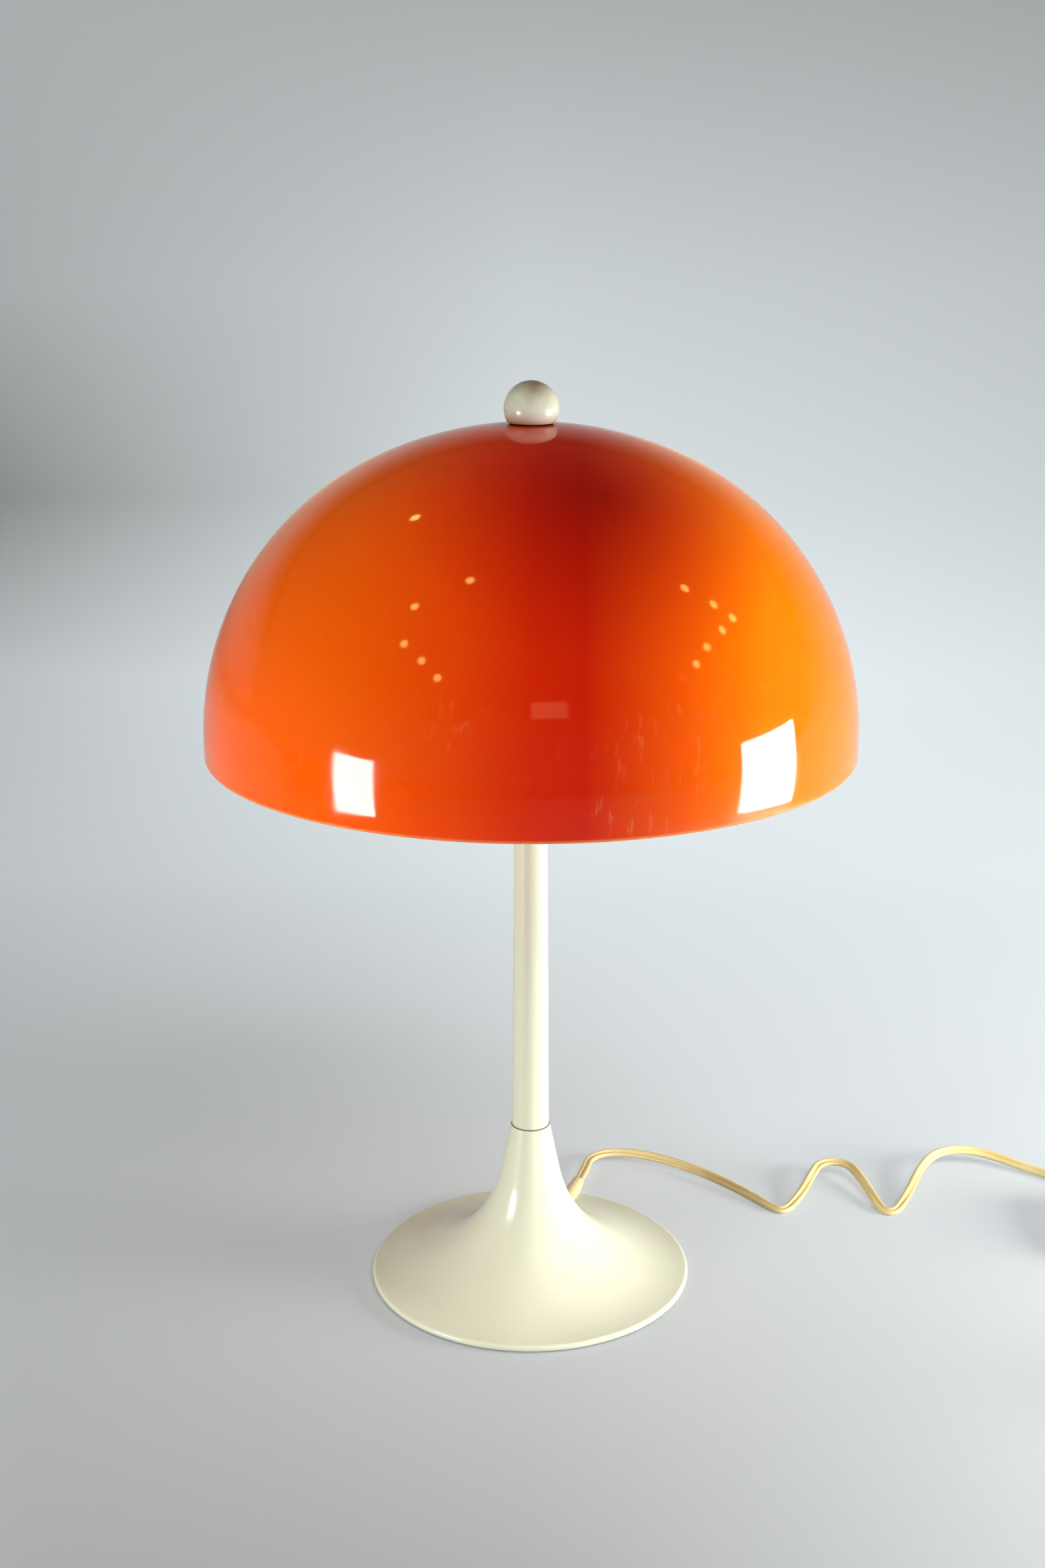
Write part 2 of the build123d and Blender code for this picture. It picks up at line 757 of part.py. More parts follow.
def switch_rocker():
    """The rocker at rest, tipped half its swing towards the lamp."""
    rocker = rocker_prism(0) - Rot(0, 90, 0) * Cylinder(pin_radius + pin_gap, 2 * rocker_width)
    tipped = Rot(-rocker_swing / 2, 0, 0) * rocker
    return Pos(switch_x, switch_mid_y, rocker_pivot_height) * tipped


def switch_pin():
    pin = Rot(0, 90, 0) * Cylinder(pin_radius, pin_length)
    return Pos(switch_x, switch_mid_y, rocker_pivot_height) * pin


def switch_contact():
    low = rocker_pivot_height - window_depth - bridge_dip
    strip = Box(bridge_width, bridge_length, bridge_thickness)
    return Pos(switch_x, switch_mid_y, low + bridge_thickness / 2) * strip


def switch_screws():
    screws = []
    for x, y in screw_spots():
        low = table_gap + switch_screw_recess
        head_top = low + switch_screw_head_height
        head = disc(switch_screw_head, low, head_top, x, y)
        shank = disc(switch_screw_radius, head_top, switch_height - switch_screw_top, x, y)
        screws.append(head + shank)
    return Compound(screws)


def half_turn(start, radius, side):
    """A level half turn to the left. side is +1 when it starts on the coil's west side."""
    x, y, z = start
    middle = (x + side * radius, y - side * radius, z)
    end = (x + side * 2 * radius, y, z)
    return ThreePointArc(start, middle, end), end


def climb_half_turn(start, radius, side):
    """The half turn where the spiral reverses, as two arcs that share a sloping tangent."""
    x, y, z = start
    rise = coil_layer_rise
    middle = (x + side * radius, y - side * hypot(radius, rise / 2), z + rise / 2)
    end = (x + side * 2 * radius, y, z + rise)
    up = TangentArc([start, middle], tangent=(0, -side, 0))
    down = TangentArc([end, middle], tangent=(0, -side, 0))
    return [up, ThreePointArc(middle, down @ 0.5, end)], end


def coil_path():
    spot = (switch_x, coil_start_y, coil_height)
    pieces = [Line((switch_x, coil_start_y + cord_diameter, coil_height), spot)]
    side = 1
    for count in range(coil_half_turns):
        turn, spot = half_turn(spot, coil_radius - count * coil_pitch / 2, side)
        pieces.append(turn)
        side = -side
    climb, spot = climb_half_turn(spot, coil_radius - coil_half_turns * coil_pitch / 2, side)
    pieces += climb
    side = -side
    for count in range(coil_half_turns - 1, 0, -1):
        turn, spot = half_turn(spot, coil_radius - count * coil_pitch / 2, side)
        pieces.append(turn)
        side = -side
    pieces.append(Line(spot, tail_route[0]))
    pieces.append(FilletPolyline(*tail_route, radius=corner_radii(tail_route)))
    return Wire(Curve() + pieces)


def least_gap(path):
    """The smallest air gap between parts of a path that are over two diameters apart along it."""
    count = 700
    spots = [path @ (i / count) for i in range(count + 1)]
    skip = int(3 * cord_diameter / path.length * count) + 1
    gaps = [(spots[i] - spots[j]).length for i in range(count + 1) for j in range(i + skip, count + 1)]
    return min(gaps) - cord_diameter


def cord_coil():
    path = coil_path()
    tube = round_tube(path, cord_radius)
    print("cord_coil length", round(path.length, 1), "least gap", round(least_gap(path), 2))
    print("cord_coil volume over section times length",
          round(tube.volume / path.length / pi / cord_radius**2, 4))
    return tube, path.length


def coil_tie():
    """A flat band round the turns on the coil's east side, where they cross the X axis line."""
    east = switch_x + 2 * coil_radius
    outer = east + cord_radius + tie_gap
    inner = east - (coil_half_turns // 2) * coil_pitch - cord_radius - tie_gap
    low = table_gap
    high = upper_height + cord_radius + tie_gap + tie_thickness
    middle = (outer + inner) / 2
    band = Box(outer - inner + 2 * tie_thickness, tie_width, high - low)
    hole_low = coil_height - cord_radius - tie_floor_gap
    hole = Box(outer - inner, tie_width + 1, high - tie_thickness - hole_low)
    band = Pos(middle, coil_start_y, (low + high) / 2) * band
    return band - Pos(middle, coil_start_y, (hole_low + high - tie_thickness) / 2) * hole


def plug_body():
    """A flat two-pin plug, lying on its side, with a tapered neck where the flex goes in."""
    shoulder = plug_y - plug_neck_length
    widest = shoulder - plug_grip_length
    rear = plug_rear_width / 2
    front = plug_width / 2
    outline = Polyline(
        (-rear, shoulder), (rear, shoulder), (front, widest), (front, plug_face_y),
        (-front, plug_face_y), (-front, widest), (-rear, shoulder))
    low = plug_height - plug_thickness / 2
    body = extrude(Pos(plug_x, 0, low) * make_face(outline), plug_thickness)
    body = fillet(body.edges().filter_by(Axis.Z), plug_round)
    neck = Cone(plug_shoulder_radius, plug_neck_radius, plug_neck_length)
    neck = Pos(plug_x, plug_y - plug_neck_length / 2, plug_height) * Rot(-90, 0, 0) * neck
    bore = Rot(90, 0, 0) * Cylinder(cord_radius + cord_hole_gap, 2 * plug_cord_depth)
    body = body + neck - Pos(plug_x, plug_y, plug_height) * bore
    for side in (-1, 1):
        hole = Rot(90, 0, 0) * Cylinder(plug_pin_radius + plug_pin_gap, 2 * plug_pin_root)
        body -= Pos(plug_x + side * plug_pin_spacing / 2, plug_face_y, plug_height) * hole
    return body


def plug_pin(side):
    length = plug_pin_root + plug_pin_length
    pin = Rot(90, 0, 0) * Cylinder(plug_pin_radius, length)
    middle = plug_face_y + plug_pin_root - length / 2
    pin = Pos(plug_x + side * plug_pin_spacing / 2, middle, plug_height) * pin
    return fillet(pin.faces().sort_by(Axis.Y)[0].edges(), plug_pin_round)


def build():
    lamp_side, lamp_side_length = cord_tube("cord_lamp_side", lamp_side_route)
    plug_side, plug_side_length = cord_tube("cord_plug_side", plug_side_route)
    coil, coil_length = cord_coil()
    print("whole flex outside the foot", round(lamp_side_length + plug_side_length + coil_length, 1))
    return {
        "foot_shell": foot_shell(),
        "foot_weight": foot_weight(),
        "felt_pad": felt_pad(),
        "cord_gland": cord_gland(),
        "cord_inner": cord_inner(),
        "threaded_rod": threaded_rod(),
        "rod_washer": rod_washer(),
        "rod_nut": rod_nut(),
        "spacer_tube": spacer_tube(),
        "centering_bush": centering_bush(),
        "stem_tube": stem_tube(),
        "stem_cap": stem_cap(),
        "harp_saddle": harp_saddle(),
        "harp_leg_left": harp_leg(-1),
        "harp_leg_right": harp_leg(1),
        "carrier_disc": carrier_disc(),
        "shade_stud": shade_stud(),
        "stud_nut": stud_nut(),
        "seat_washer": seat_washer(),
        "holder_cap": holder_cap(),
        "holder_shell": holder_shell(),
        "holder_insert": holder_insert(),
        "holder_thread": holder_thread(),
        "centre_contact": centre_contact(),
        "terminal_screws": terminal_screws(),
        "lead_wire_left": lead_wire(-1),
        "lead_wire_right": lead_wire(1),
        "bulb_glass": bulb_glass(),
        "bulb_cap": bulb_cap(),
        "bulb_insulator": bulb_insulator(),
        "bulb_contact": bulb_contact(),
        "shade_dome": shade_dome(),
        "finial_washer": finial_washer(),
        "finial_ball": finial_ball(),
        "finial_insert": finial_insert(),
        "cord_lamp_side": lamp_side,
        "switch_base": switch_base(),
        "switch_cover": switch_cover(),
        "switch_rocker": switch_rocker(),
        "switch_pin": switch_pin(),
        "switch_contact": switch_contact(),
        "switch_screws": switch_screws(),
        "cord_plug_side": plug_side,
        "cord_coil": coil,
        "coil_tie": coil_tie(),
        "plug_body": plug_body(),
        "plug_pin_left": plug_pin(-1),
        "plug_pin_right": plug_pin(1),
    }


os.makedirs("parts", exist_ok=True)
for node, shape in build().items():
    export_step(shape, f"parts/{node}.step")
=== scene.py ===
import json
from math import atan2, cos, degrees, pi, radians, sin, sqrt

import bmesh
import bpy
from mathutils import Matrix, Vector


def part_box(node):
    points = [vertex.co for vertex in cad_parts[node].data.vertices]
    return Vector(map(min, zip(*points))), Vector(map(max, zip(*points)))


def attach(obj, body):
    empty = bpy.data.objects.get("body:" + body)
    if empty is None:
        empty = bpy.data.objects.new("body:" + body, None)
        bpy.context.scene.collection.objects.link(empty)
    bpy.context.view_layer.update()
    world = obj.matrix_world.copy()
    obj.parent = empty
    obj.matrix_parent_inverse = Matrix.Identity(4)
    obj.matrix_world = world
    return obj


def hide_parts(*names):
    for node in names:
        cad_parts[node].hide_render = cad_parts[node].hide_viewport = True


# Mushroom table lamp, in metres, dressed round its fixed frame.
# +Z is up, +X is the viewer's right and the viewer stands on the -Y side.

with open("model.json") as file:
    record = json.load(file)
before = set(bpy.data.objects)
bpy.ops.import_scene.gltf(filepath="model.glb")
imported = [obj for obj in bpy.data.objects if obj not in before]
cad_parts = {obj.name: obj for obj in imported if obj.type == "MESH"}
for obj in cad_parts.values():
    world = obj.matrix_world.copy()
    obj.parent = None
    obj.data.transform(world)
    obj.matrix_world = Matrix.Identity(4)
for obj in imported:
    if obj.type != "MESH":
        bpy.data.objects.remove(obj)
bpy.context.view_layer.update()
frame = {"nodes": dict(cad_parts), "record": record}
nodes = frame["nodes"]
slotOf = {row["node"]: row["material_slot"] for row in frame["record"]["subparts"]}
scene = bpy.context.scene
print("frame loaded:", len(nodes), "nodes")


def addObject(name, data):
    piece = bpy.data.objects.new(name, data)
    scene.collection.objects.link(piece)
    return piece


cameraSet = {
    "place": (-0.0039, -0.922, 0.5236),
    "lookDown": 16.35,              # degrees below level
    "lens": 47.28,
    "film": 36.0,
    "nearest": 0.02,
    "farthest": 50,
}

paperSet = {
    "halfWidth": 4.0,
    "front": -3.0,
    "bendStart": 0.55,              # where the paper leaves the table
    "bendRadius": 1.3,
    "bendSteps": 48,
    "top": 1.6,
    "fadeFrom": 0.85,               # height where painted shade begins to darken the paper, above the picture
    "roughness": 0.9,
    "specular": 0.1,
    # at its left, middle and right, painted darker to the left as shade
    "colour": ((0.365, 0.385, 0.395), (0.43, 0.455, 0.465), (0.46, 0.49, 0.50)),
    # left and right are this slope away from the line of sight, seen from the eye's distance
    "fanSlope": 0.27,
    "fanEye": 0.95,
    "fanLeast": 0.4,
    # how strongly the paper glows as seen: how far back and up, then at its left, middle and right
    "glow": (
        (-0.23, 0.00, 0.03, 0.17),
        (0.10, 0.22, 0.31, 0.33),
        (0.60, 0.37, 0.53, 0.56),
        (1.05, 0.33, 0.66, 0.50),
        (1.45, 0.06, 0.50, 0.38),
        (1.90, 0.22, 0.39, 0.30),
        (2.60, 0.26, 0.15, 0.11),
        (3.30, 0.00, 0.00, 0.00),
    ),
    "glowTint": ((0.942, 1.0, 1.0), (0.931, 1.0, 1.0), (0.916, 0.983, 1.0)),
    "glowGain": (1.0, 1.012, 1.055),
    "glossGlow": (-0.75, -0.40),    # how far back the glow begins to show in the gloss
}

boxLights = {
    # name: (centre, looks at, width, height, radiance, colour)
    "rightBox": ((0.86, -0.15, 0.168), (0.05, -0.02, 0.22), 0.37, 0.31, 33.0, (1.0, 0.985, 0.96)),
    "leftBox": ((-0.62, -0.43, 0.195), (-0.05, -0.05, 0.22), 0.185, 0.22, 30.0,
                (1.0, 0.985, 0.965)),
    "farPanel": ((0.30, -2.80, 1.50), (0.0, 0.0, 0.33), 0.62, 0.30, 2.0, (1.0, 0.55, 0.25)),
}

fillLight = {
    "centre": (0.95, -1.25, 1.95),   # soft light from the front, too wide to show in the gloss
    "target": (0.0, -0.02, 0.08),
    "size": 1.5,
    "radiance": 5.6,
    "colour": (0.93, 0.98, 1.0),
}

dotLights = {
    "distance": 2.4,
    "height": 0.33,                 # of the point that they stand round
    "radius": 0.052,
    "power": 1.7,
    "colour": (1.0, 0.72, 0.16),
    # degrees round from the viewer's side towards +X, and degrees up
    "places": ((-45.9, 65.7), (-61.1, 50.0), (-126.7, 57.2), (84.8, 47.0), (88.8, 38.1),
               (91.3, 31.8), (-43.7, 34.7), (-35.3, 30.4), (64.1, 27.7), (-54.0, 38.1),
               (83.1, 31.7), (72.1, 30.6)),
}

roomSet = {
    "above": (0.050, 0.052, 0.058),
    "level": (0.13, 0.135, 0.14),
    "paleUpTo": 0.14,               # sine of the elevation
    "darkFrom": 0.42,
}


# stands a light somewhere and aims it
def standLight(light, centre, target):
    light.location = centre
    light.rotation_euler = (Vector(target) - light.location).to_track_quat("-Z", "Y").to_euler()


def addCamera():
    data = bpy.data.cameras.new("lampCamera")
    data.sensor_width = cameraSet["film"]
    data.lens = cameraSet["lens"]
    data.clip_start = cameraSet["nearest"]
    data.clip_end = cameraSet["farthest"]
    camera = addObject("lampCamera", data)
    camera.location = cameraSet["place"]
    camera.rotation_euler = (radians(90 - cameraSet["lookDown"]), 0, 0)
    scene.camera = camera


# one sheet of paper that runs along the table and up behind it
def addPaper():
    outline = [(paperSet["front"], 0.0), (paperSet["bendStart"], 0.0)]
    bendSteps = paperSet["bendSteps"]
    for step in range(1, bendSteps + 1):
        angle = radians(90 * step / bendSteps)
        y = paperSet["bendStart"] + paperSet["bendRadius"] * sin(angle)
        outline.append((y, paperSet["bendRadius"] * (1 - cos(angle))))
    outline.append((outline[-1][0], paperSet["top"]))
    half = paperSet["halfWidth"]
    points = [(x, y, z) for y, z in outline for x in (-half, half)]
    faces = [(2 * i, 2 * i + 1, 2 * i + 3, 2 * i + 2) for i in range(len(outline) - 1)]
    mesh = bpy.data.meshes.new("backdropPaper")
    mesh.from_pydata(points, [], faces)
    mesh.shade_smooth()
    paper = addObject("backdropPaper", mesh)
    mesh.materials.append(paperFinish())


# the paper's colour drifts from left to right and with its distance as painted shade, darker to the
# left, and darkens higher up as painted shade; it also glows a little for the viewer and for
# reflections, as painted light
def paperFinish():
    material, tree, shader = newFinish("backdropPaper")
    shader.inputs["Roughness"].default_value = paperSet["roughness"]
    shader.inputs["Specular IOR Level"].default_value = paperSet["specular"]
    x, y, z = axesNode(tree)
    depth = mathNode(tree, "ADD", y, paperSet["fanEye"])
    depth = mathNode(tree, "MAXIMUM", depth, paperSet["fanLeast"])
    slope = mathNode(tree, "DIVIDE", x, depth)
    fan = rangeNode(tree, slope, -paperSet["fanSlope"], paperSet["fanSlope"], 0.0, 1.0)
    # painted shade: darker to the left by the fan and darker higher up by the dusk
    dusk = rangeNode(tree, z, paperSet["fadeFrom"], paperSet["top"], 0.0, 1.0)
    paper = fanRamp(tree, fan, paperSet["colour"])
    tree.links.new(mixNode(tree, dusk, paper, roomSet["above"]), shader.inputs["Base Color"])
    reach = mathNode(tree, "ADD", y, z)
    glow = None
    for mark, *strengths in paperSet["glow"]:
        layer = fanRamp(tree, fan, [(level,) * 3 for level in strengths])
        if glow:
            layer = mixNode(tree, rangeNode(tree, reach, lastMark, mark, 0.0, 1.0), glow, layer)
        glow, lastMark = layer, mark
    tinted = timesNode(tree, glow, fanRamp(tree, fan, paperSet["glowTint"]))
    tree.links.new(timesNode(tree, tinted, paperSet["glowGain"]), shader.inputs["Emission Color"])
    path = tree.nodes.new("ShaderNodeLightPath")
    glossFrom, glossFull = paperSet["glossGlow"]
    inGloss = mathNode(tree, "MULTIPLY", path.outputs["Is Glossy Ray"],
                       rangeNode(tree, y, glossFrom, glossFull, 0.0, 1.0))
    seen = mathNode(tree, "MAXIMUM", path.outputs["Is Camera Ray"],
                    path.outputs["Is Transmission Ray"])
    tree.links.new(mathNode(tree, "MAXIMUM", seen, inGloss), shader.inputs["Emission Strength"])
    return material


def fanRamp(tree, fan, colours):
    return rampNode(tree, fan, [(place / 2, tuple(colour)) for place, colour in enumerate(colours)])


def addLights():
    for name, (centre, target, width, height, radiance, colour) in boxLights.items():
        data = bpy.data.lights.new(name, "AREA")
        data.shape = "RECTANGLE"
        data.size = width
        data.size_y = height
        data.energy = radiance * pi * width * height
        data.color = colour
        standLight(addObject(name, data), centre, target)
    data = bpy.data.lights.new("frontFill", "AREA")
    data.shape = "DISK"
    data.size = fillLight["size"]
    data.energy = fillLight["radiance"] * pi * pi * fillLight["size"] ** 2 / 4
    data.color = fillLight["colour"]
    light = addObject("frontFill", data)
    light.visible_glossy = False
    standLight(light, fillLight["centre"], fillLight["target"])
    for index, (turn, rise) in enumerate(dotLights["places"]):
        data = bpy.data.lights.new("roomDot", "POINT")
        data.shadow_soft_size = dotLights["radius"]
        data.energy = dotLights["power"]
        data.color = dotLights["colour"]
        light = addObject("roomDot%d" % index, data)
        level = dotLights["distance"] * cos(radians(rise))
        light.location = (level * sin(radians(turn)), -level * cos(radians(turn)),
                          dotLights["height"] + dotLights["distance"] * sin(radians(rise)))


# a room that is pale near the horizon and dark above
def addWorld():
    world = bpy.data.worlds.new("roomLight")
    world.use_nodes = True
    scene.world = world
    tree = world.node_tree
    back = tree.nodes["Background"]
    up = axesNode(tree, "Generated")[2]
    rise = rangeNode(tree, up, roomSet["paleUpTo"], roomSet["darkFrom"], 0.0, 1.0)
    tree.links.new(rampNode(tree, rise, [(0.0, roomSet["level"]), (1.0, roomSet["above"])]),
                   back.inputs["Color"])


def newFinish(name):
    material = bpy.data.materials.new(name)
    material.use_nodes = True
    tree = material.node_tree
    return material, tree, tree.nodes["Principled BSDF"]


# a point's x, y and z
def axesNode(tree, kind="Object"):
    point = tree.nodes.new("ShaderNodeTexCoord")
    axes = tree.nodes.new("ShaderNodeSeparateXYZ")
    tree.links.new(point.outputs[kind], axes.inputs["Vector"])
    return [axes.outputs[name] for name in "XYZ"]


def rangeNode(tree, value, fromLow, fromHigh, toLow, toHigh):
    node = tree.nodes.new("ShaderNodeMapRange")
    node.inputs["From Min"].default_value = fromLow
    node.inputs["From Max"].default_value = fromHigh
    node.inputs["To Min"].default_value = toLow
    node.inputs["To Max"].default_value = toHigh
    tree.links.new(value, node.inputs["Value"])
    return node.outputs["Result"]


def mathNode(tree, job, first, second):
    node = tree.nodes.new("ShaderNodeMath")
    node.operation = job
    for socket, value in zip(node.inputs, (first, second)):
        if isinstance(value, (int, float)):
            socket.default_value = value
        else:
            tree.links.new(value, socket)
    return node.outputs["Value"]


def mixNode(tree, part, first, second):
    node = tree.nodes.new("ShaderNodeMix")
    node.data_type = "RGBA"
    factor, colourA, colourB = node.inputs[0], node.inputs[6], node.inputs[7]
    for socket, value in ((factor, part), (colourA, first), (colourB, second)):
        if isinstance(value, tuple):
            socket.default_value = (*value, 1.0)
        else:
            tree.links.new(value, socket)
    return node.outputs[2]


def timesNode(tree, first, second):
    node = tree.nodes.new("ShaderNodeVectorMath")
    node.operation = "MULTIPLY"
    for socket, value in zip(node.inputs, (first, second)):
        if isinstance(value, tuple):
            socket.default_value = value
        else:
            tree.links.new(value, socket)
    return node.outputs["Vector"]


# how far the surface is from a point
def awayNode(tree, point):
    here = tree.nodes.new("ShaderNodeTexCoord")
    gap = tree.nodes.new("ShaderNodeVectorMath")
    gap.operation = "DISTANCE"
    gap.inputs[1].default_value = point
    tree.links.new(here.outputs["Object"], gap.inputs[0])
    return gap.outputs["Value"]


def rampNode(tree, value, stops):
    node = tree.nodes.new("ShaderNodeValToRGB")
    ramp = node.color_ramp
    while len(ramp.elements) < len(stops):
        ramp.elements.new(0.5)
    for element, (position, colour) in zip(ramp.elements, stops):
        element.position = position
        element.color = (*colour, 1.0)
    tree.links.new(value, node.inputs["Fac"])
    return node.outputs["Color"]


def noiseNode(tree, scale, detail=3.0, stretch=(1, 1, 1)):
    here = tree.nodes.new("ShaderNodeTexCoord")
    turn = tree.nodes.new("ShaderNodeMapping")
    turn.inputs["Scale"].default_value = stretch
    noise = tree.nodes.new("ShaderNodeTexNoise")
    noise.inputs["Scale"].default_value = scale
    noise.inputs["Detail"].default_value = detail
    tree.links.new(here.outputs["Object"], turn.inputs["Vector"])
    tree.links.new(turn.outputs["Vector"], noise.inputs["Vector"])
    return noise.outputs["Fac"]


def bumpNode(tree, height, depth, shader, before=None):
    bump = tree.nodes.new("ShaderNodeBump")
    bump.inputs["Strength"].default_value = 1.0
    bump.inputs["Distance"].default_value = depth
    tree.links.new(height, bump.inputs["Height"])
    if before:
        tree.links.new(before, bump.inputs["Normal"])
    tree.links.new(bump.outputs["Normal"], shader.inputs["Normal"])
    return bump.outputs["Normal"]


# finishes, named as the record's slots

finishSet = {
    # slot: colour, darker colour, patch scale, roughness, how far that drifts, metal, coat,
    # grain scale, grain depth
    "cream_lacquer": ((0.765, 0.797, 0.617), (0.745, 0.772, 0.587),
                      9, 0.235, 0.05, 0, 0.12, 900, 1e-5),
    "cream_plastic": ((0.770, 0.780, 0.605), (0.735, 0.725, 0.545),
                      30, 0.22, 0.08, 0, 0.3, 1100, 1.2e-5),
    "flex_pvc": ((0.86, 0.74, 0.38), (0.74, 0.56, 0.22), 60, 0.34, 0.10, 0, 0.0, 1500, 3e-5),
    "cast_iron": ((0.06, 0.06, 0.065), (0.03, 0.03, 0.03), 60, 0.75, 0.15, 0, 0.0, 420, 3e-4),
    "felt": ((0.12, 0.11, 0.09), (0.07, 0.065, 0.055), 300, 0.95, 0.03, 0, 0.0, 2600, 3e-4),
    "plated_steel": ((0.62, 0.62, 0.60), (0.45, 0.45, 0.43), 180, 0.34, 0.10, 1, 0.0, 1600, 1e-5),
    "nickel": ((0.72, 0.69, 0.63), (0.60, 0.56, 0.50), 160, 0.20, 0.10, 1, 0.0, 1600, 6e-6),
    "rubber": ((0.025, 0.025, 0.025), (0.015, 0.015, 0.015), 120, 0.70, 0.10, 0, 0.0, 1800, 3e-5),
    "holder_plastic": ((0.78, 0.72, 0.56), (0.66, 0.58, 0.42), 50, 0.38, 0.08, 0, 0.0, 1400, 2e-5),
    "ceramic": ((0.82, 0.80, 0.75), (0.74, 0.71, 0.65), 60, 0.18, 0.05, 0, 0.3, 900, 1e-5),
    "brass": ((0.62, 0.43, 0.16), (0.40, 0.26, 0.09), 140, 0.34, 0.10, 1, 0.0, 1500, 1e-5),
    "core_plastic": ((0.16, 0.06, 0.025), (0.12, 0.045, 0.02), 90, 0.45, 0.08, 0, 0.0, 1500, 1e-5),
    "aluminium": ((0.66, 0.66, 0.66), (0.52, 0.52, 0.52), 200, 0.34, 0.12, 1, 0.0, 1400, 1e-5),
    "black_glass": ((0.012, 0.012, 0.012), (0.008, 0.008, 0.008),
                    80, 0.12, 0.04, 0, 0.3, 900, 5e-6),
    "solder": ((0.50, 0.50, 0.50), (0.34, 0.34, 0.34), 500, 0.42, 0.10, 1, 0.0, 1300, 4e-5),
    "aged_cream_plastic": ((0.84, 0.72, 0.42), (0.74, 0.60, 0.30),
                           60, 0.36, 0.08, 0, 0.0, 1400, 2e-5),
    # paler and cooler than the cream plastic, painted to undo the shade's orange light on the ball
    "stained_and_shaded_cream_plastic": ((0.80, 0.845, 0.705), (0.77, 0.80, 0.65),
                              30, 0.22, 0.08, 0, 0.3, 1100, 1.2e-5),
    "tie_plastic": ((0.80, 0.78, 0.72), (0.72, 0.69, 0.62), 90, 0.45, 0.08, 0, 0.0, 1200, 1e-5),
}


coatRoughness = 0.08
driftFiner = 2.7                    # the roughness drifts in finer patches than the colour


# colour and roughness drift in soft patches, over a fine grain
def plainFinish(slot):
    colour, dark, patches, rough, spread, metal, coat, grain, depth = finishSet[slot]
    material, tree, shader = newFinish(slot)
    shader.inputs["Metallic"].default_value = metal
    shader.inputs["Coat Weight"].default_value = coat
    shader.inputs["Coat Roughness"].default_value = coatRoughness
    patch = noiseNode(tree, patches, 4)
    tree.links.new(rampNode(tree, patch, [(0.2, dark), (0.8, colour)]), shader.inputs["Base Color"])
    drift = noiseNode(tree, patches * driftFiner, 2)
    tree.links.new(rangeNode(tree, drift, 0.3, 0.7, rough - spread / 2, rough + spread / 2),
                   shader.inputs["Roughness"])
    bumpNode(tree, noiseNode(tree, grain, 2), depth, shader)
    return material


jointShadowSet = {
    "height": 0.0802,
    "half": 0.0004,                 # half the line's width
    "strength": 0.8,
    "colour": (0.16, 0.13, 0.09),
}


# the lacquer again, with a painted shadow line in the joint between foot and stem
def lacquerFinish():
    material = plainFinish("cream_lacquer")
    tree = material.node_tree
    shader = tree.nodes["Principled BSDF"]
    plain = shader.inputs["Base Color"].links[0].from_socket
    # painted shadow line where the stem meets the foot
    off = mathNode(tree, "SUBTRACT", axesNode(tree)[2], jointShadowSet["height"])
    off = mathNode(tree, "ABSOLUTE", off, 0.0)
    half = jointShadowSet["half"]
    line = rangeNode(tree, off, half / 2, half, jointShadowSet["strength"], 0.0)
    tree.links.new(mixNode(tree, line, plain, jointShadowSet["colour"]), shader.inputs["Base Color"])
    return material


shadeFinish = {
    "halfWidth": 0.15,
    # the colour across the shade, redder at the middle and nearer orange at its two sides: painted
    # light on the two sides and painted shade down the middle
    "across": ((0.0, (1.0, 0.130, 0.0)), (0.25, (1.0, 0.112, 0.0)), (0.40, (0.93, 0.062, 0.0)),
               (0.50, (0.74, 0.022, 0.0)), (0.57, (0.62, 0.014, 0.0)), (0.70, (0.88, 0.085, 0.0)),
               (0.82, (1.0, 0.180, 0.0)), (1.0, (1.0, 0.180, 0.0))),
    # painted shade near its top: middle, reach, and what it leaves of red, green and blue
    "topShadeAt": (0.030, -0.075, 0.400),
    "topShadeReach": 0.084,
    "topShade": (0.42, 0.15, 0.05),
    "cloud": 0.92,                  # how dark its faint clouds are
    "cloudGrain": (9, 2),           # noise scale and detail
    "ior": 1.49,
    "specular": 0.40,
    "depth": 0.5,                   # how much of its light comes from within
    "depthReach": (1.0, 0.12, 0.02),
    "depthScale": 0.03,
    "sheen": 0.30,
    "sheenRoughness": 0.35,
    "sheenTint": (1.0, 0.42, 0.04),
    "gloss": 0.05,                  # roughness
    "scuffed": 0.14,                # roughness that a scratch adds
    "scuffsFrom": 0.278,            # heights between which the wear above the rim fades out
    "scuffsUpTo": 0.345,
    "scratch": 0.35,                # how much a scratch whitens
    "scratchGrain": (340, 5, (1, 1, 0.22)),
    "scratchRange": (0.57, 0.68),
    "scratchDepth": 0.00002,
    "patchGrain": (20, 3),          # the patches that the scratches lie in
    "patchRange": (0.52, 0.66),
    "worn": (1.0, 0.42, 0.16),      # colour of a scratch and of the painted highlight on the cut rim
    "rim": (0.2727, 0.2738),        # heights between which the painted highlight along the cut rim fades out
    "rimHighlight": 0.45,
    "filmGrain": (70, 4, (1, 1, 0.5)),
    "filmRange": (0.45, 0.75),
    "film": 0.08,                   # roughness that the film of wear adds near the rim
    "waveGrain": (22, 1),
    "waveDepth": 0.00005,
}
